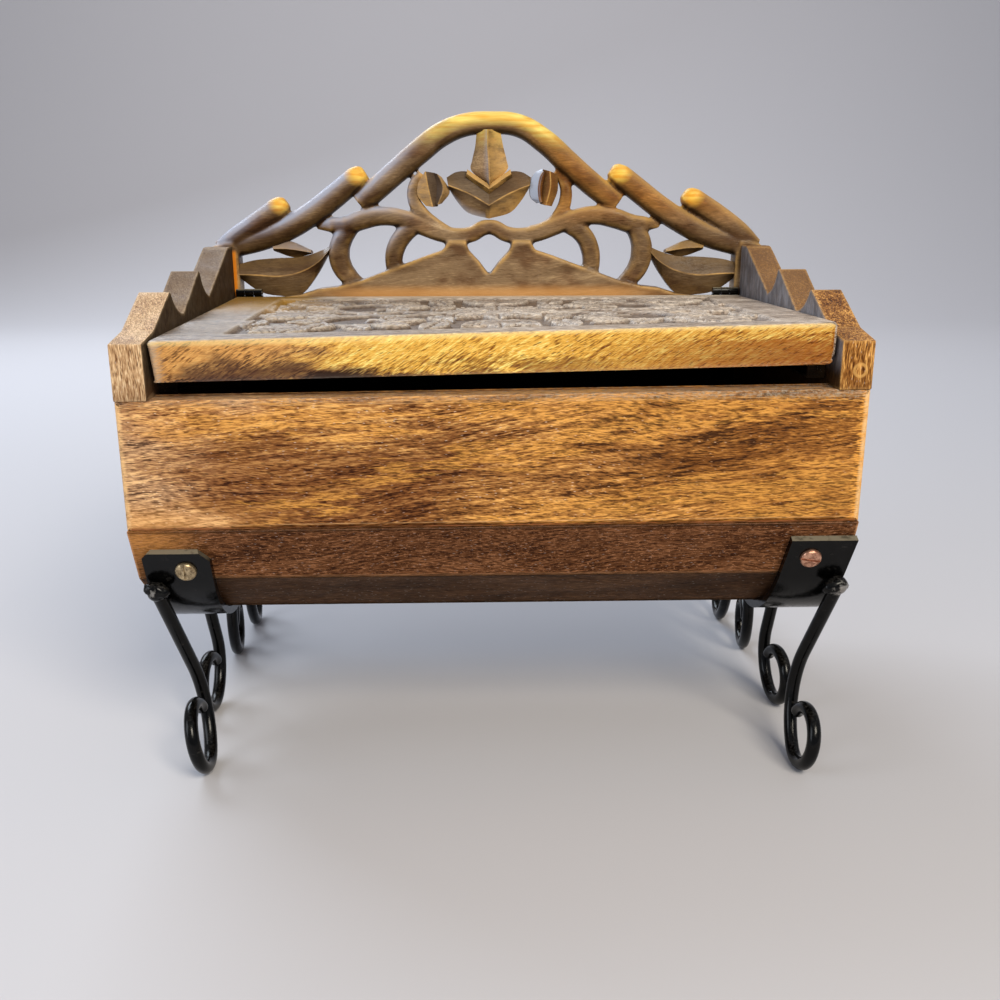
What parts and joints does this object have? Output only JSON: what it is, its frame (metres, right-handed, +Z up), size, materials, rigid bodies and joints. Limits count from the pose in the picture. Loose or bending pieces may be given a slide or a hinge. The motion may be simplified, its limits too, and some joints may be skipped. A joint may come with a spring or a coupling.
{
  "type": "letter box",
  "caption": "Carved wooden desk letter box with a hinged lid and an openwork back, on a black iron scroll stand.",
  "frame": {"origin": "centre of the rectangle under the whole part, on the desk", "axes": "+X to the viewer's right, +Y to the back, +Z up; the front panel faces -Y"},
  "size_m": [0.2353, 0.1611, 0.2257],
  "materials": {
    "wood_front": "satin, golden streaks",
    "wood_belly": "satin, dark red-brown",
    "wood_ends": "satin, worn edges",
    "wood_back": "satin, carved",
    "wood_inside": "plain",
    "wood_lid": "satin, carved",
    "hinge_iron": "dark, worn",
    "screw_steel": "dull",
    "black_iron": "semi-gloss black",
    "screw_brass": "aged"
  },
  "bodies": {
    "box": {"front_panel": "wood_front", "front_upper_stave": "wood_belly", "front_lower_stave": "wood_belly", "bottom_board": "wood_belly", "rear_upper_stave": "wood_belly", "rear_lower_stave": "wood_belly", "left_end_panel": "wood_ends", "right_end_panel": "wood_ends", "back_panel": "wood_back", "left_lid_cleat": "wood_inside", "right_lid_cleat": "wood_inside", "left_hinge_back_leaf": "hinge_iron", "right_hinge_back_leaf": "hinge_iron", "left_hinge_pin": "hinge_iron", "right_hinge_pin": "hinge_iron", "hinge_screws_back": "screw_steel", "left_strap": "black_iron", "right_strap": "black_iron", "strap_screws": "screw_brass", "left_front_leg": "black_iron", "right_front_leg": "black_iron", "left_rear_leg": "black_iron", "right_rear_leg": "black_iron", "left_inner_front_scroll": "black_iron", "right_inner_front_scroll": "black_iron", "left_inner_rear_scroll": "black_iron", "right_inner_rear_scroll": "black_iron", "panel_nails": "screw_steel"},
    "lid": {"lid": "wood_lid", "left_hinge_lid_leaf": "hinge_iron", "right_hinge_lid_leaf": "hinge_iron", "hinge_screws_lid": "screw_steel"}
  },
  "joints": [
    {"name": "lid_hinge", "type": "hinge", "parent": "box", "child": "lid", "pos_m": [0, 0.0599, 0.15275], "axis": [-1, 0, 0], "range_deg": [0, 88]}
  ]
}
